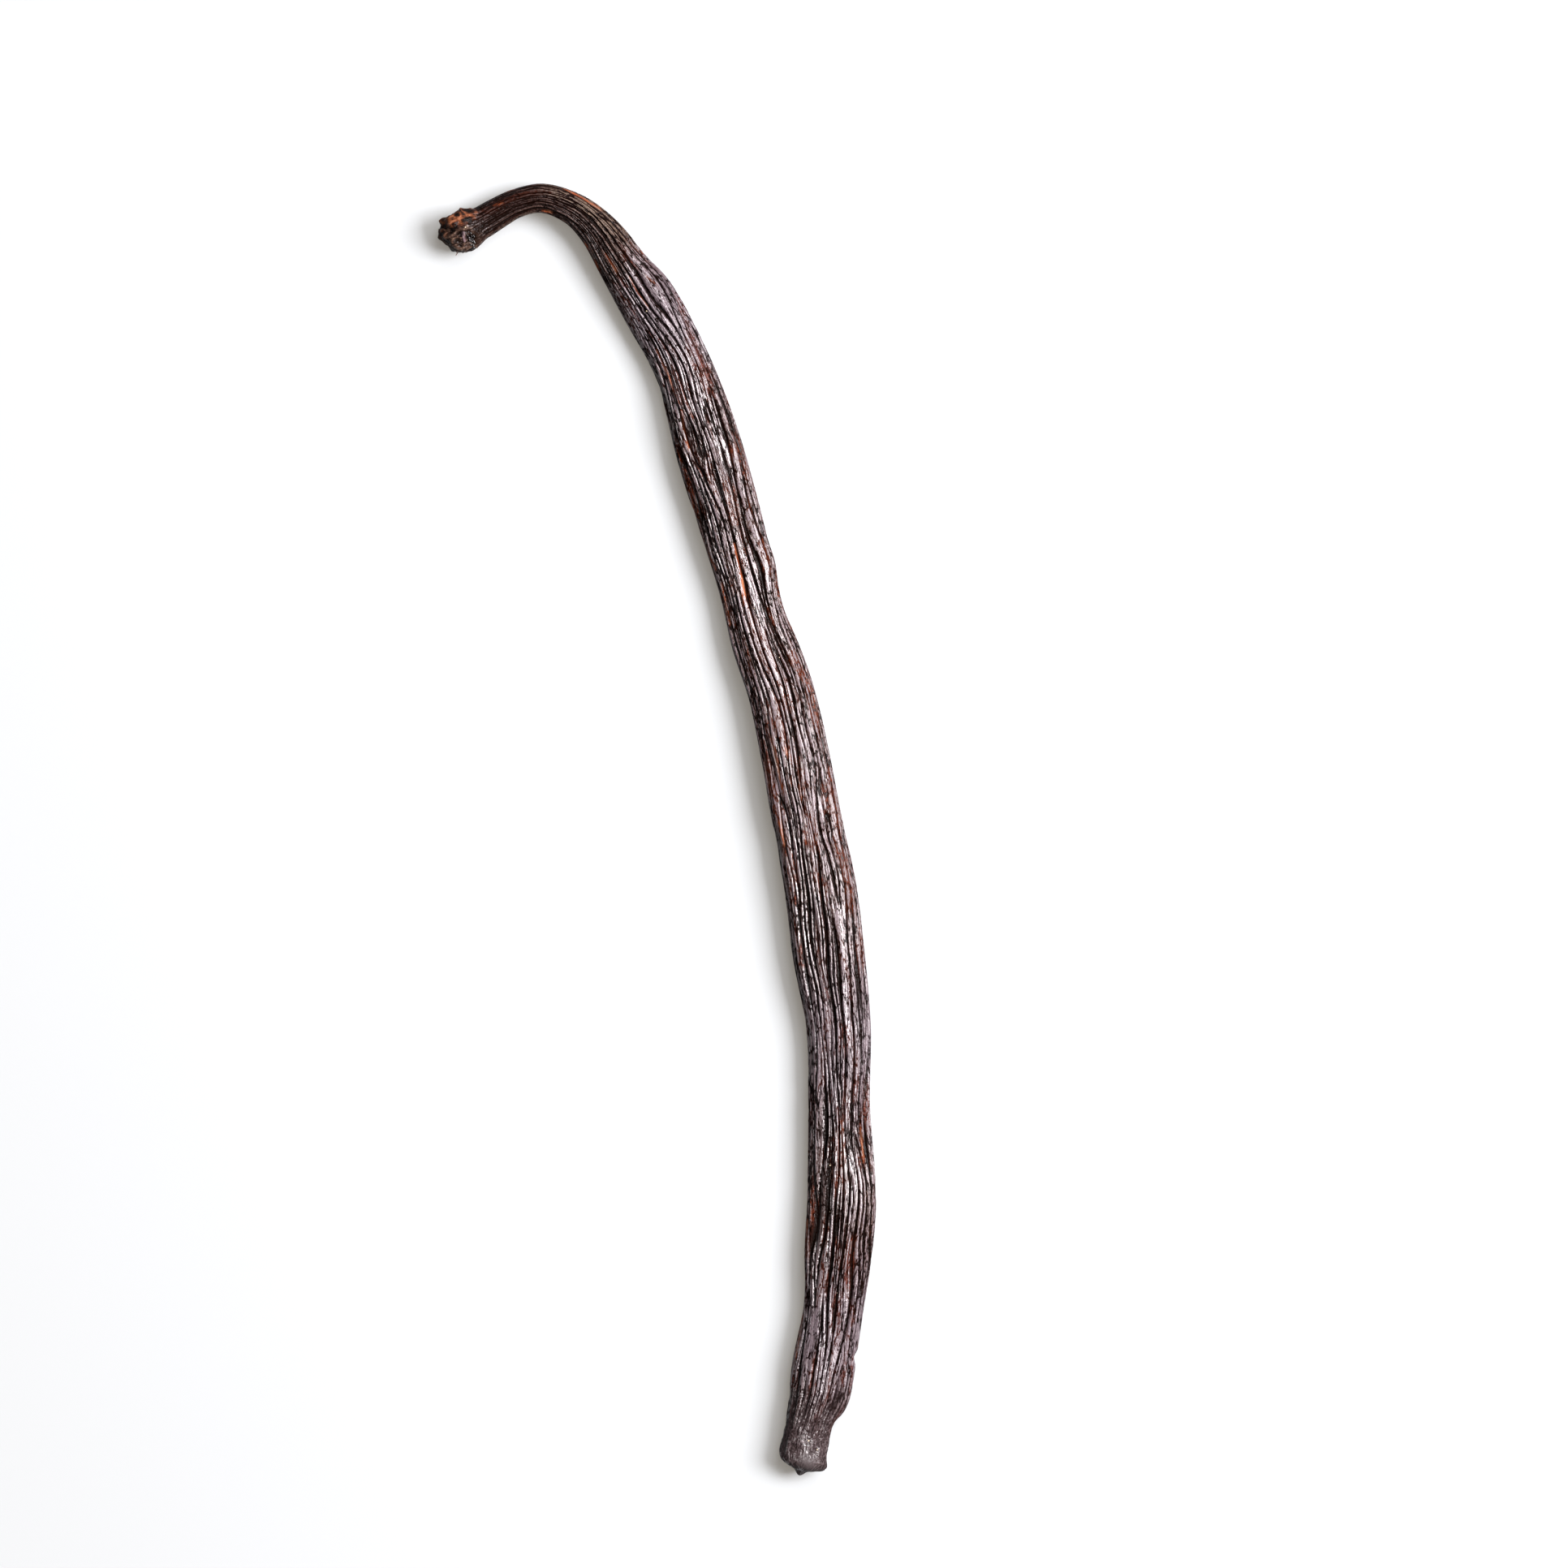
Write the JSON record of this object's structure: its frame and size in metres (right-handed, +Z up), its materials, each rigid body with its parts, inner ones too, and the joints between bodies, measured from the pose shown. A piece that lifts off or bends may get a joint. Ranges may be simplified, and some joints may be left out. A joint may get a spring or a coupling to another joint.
{
  "type": "vanilla pod",
  "caption": "Cured vanilla pod lying flat: a long, wrinkled, oily dark-brown pod with a hooked neck, a torn stem knob and a blunt lobed tip.",
  "frame": {"origin": "on the surface the pod lies on, under the middle of its outline", "axes": "+Z up out of the surface, +Y along the pod towards its hooked stem end, +X towards the side the pod bows out to"},
  "size_m": [0.0539, 0.159, 0.005],
  "materials": {
    "cured_skin": "oily, finely wrinkled, near-black brown with a pale sheen on the ridges"
  },
  "bodies": {
    "root": {"pod": "cured_skin"}
  },
  "joints": []
}
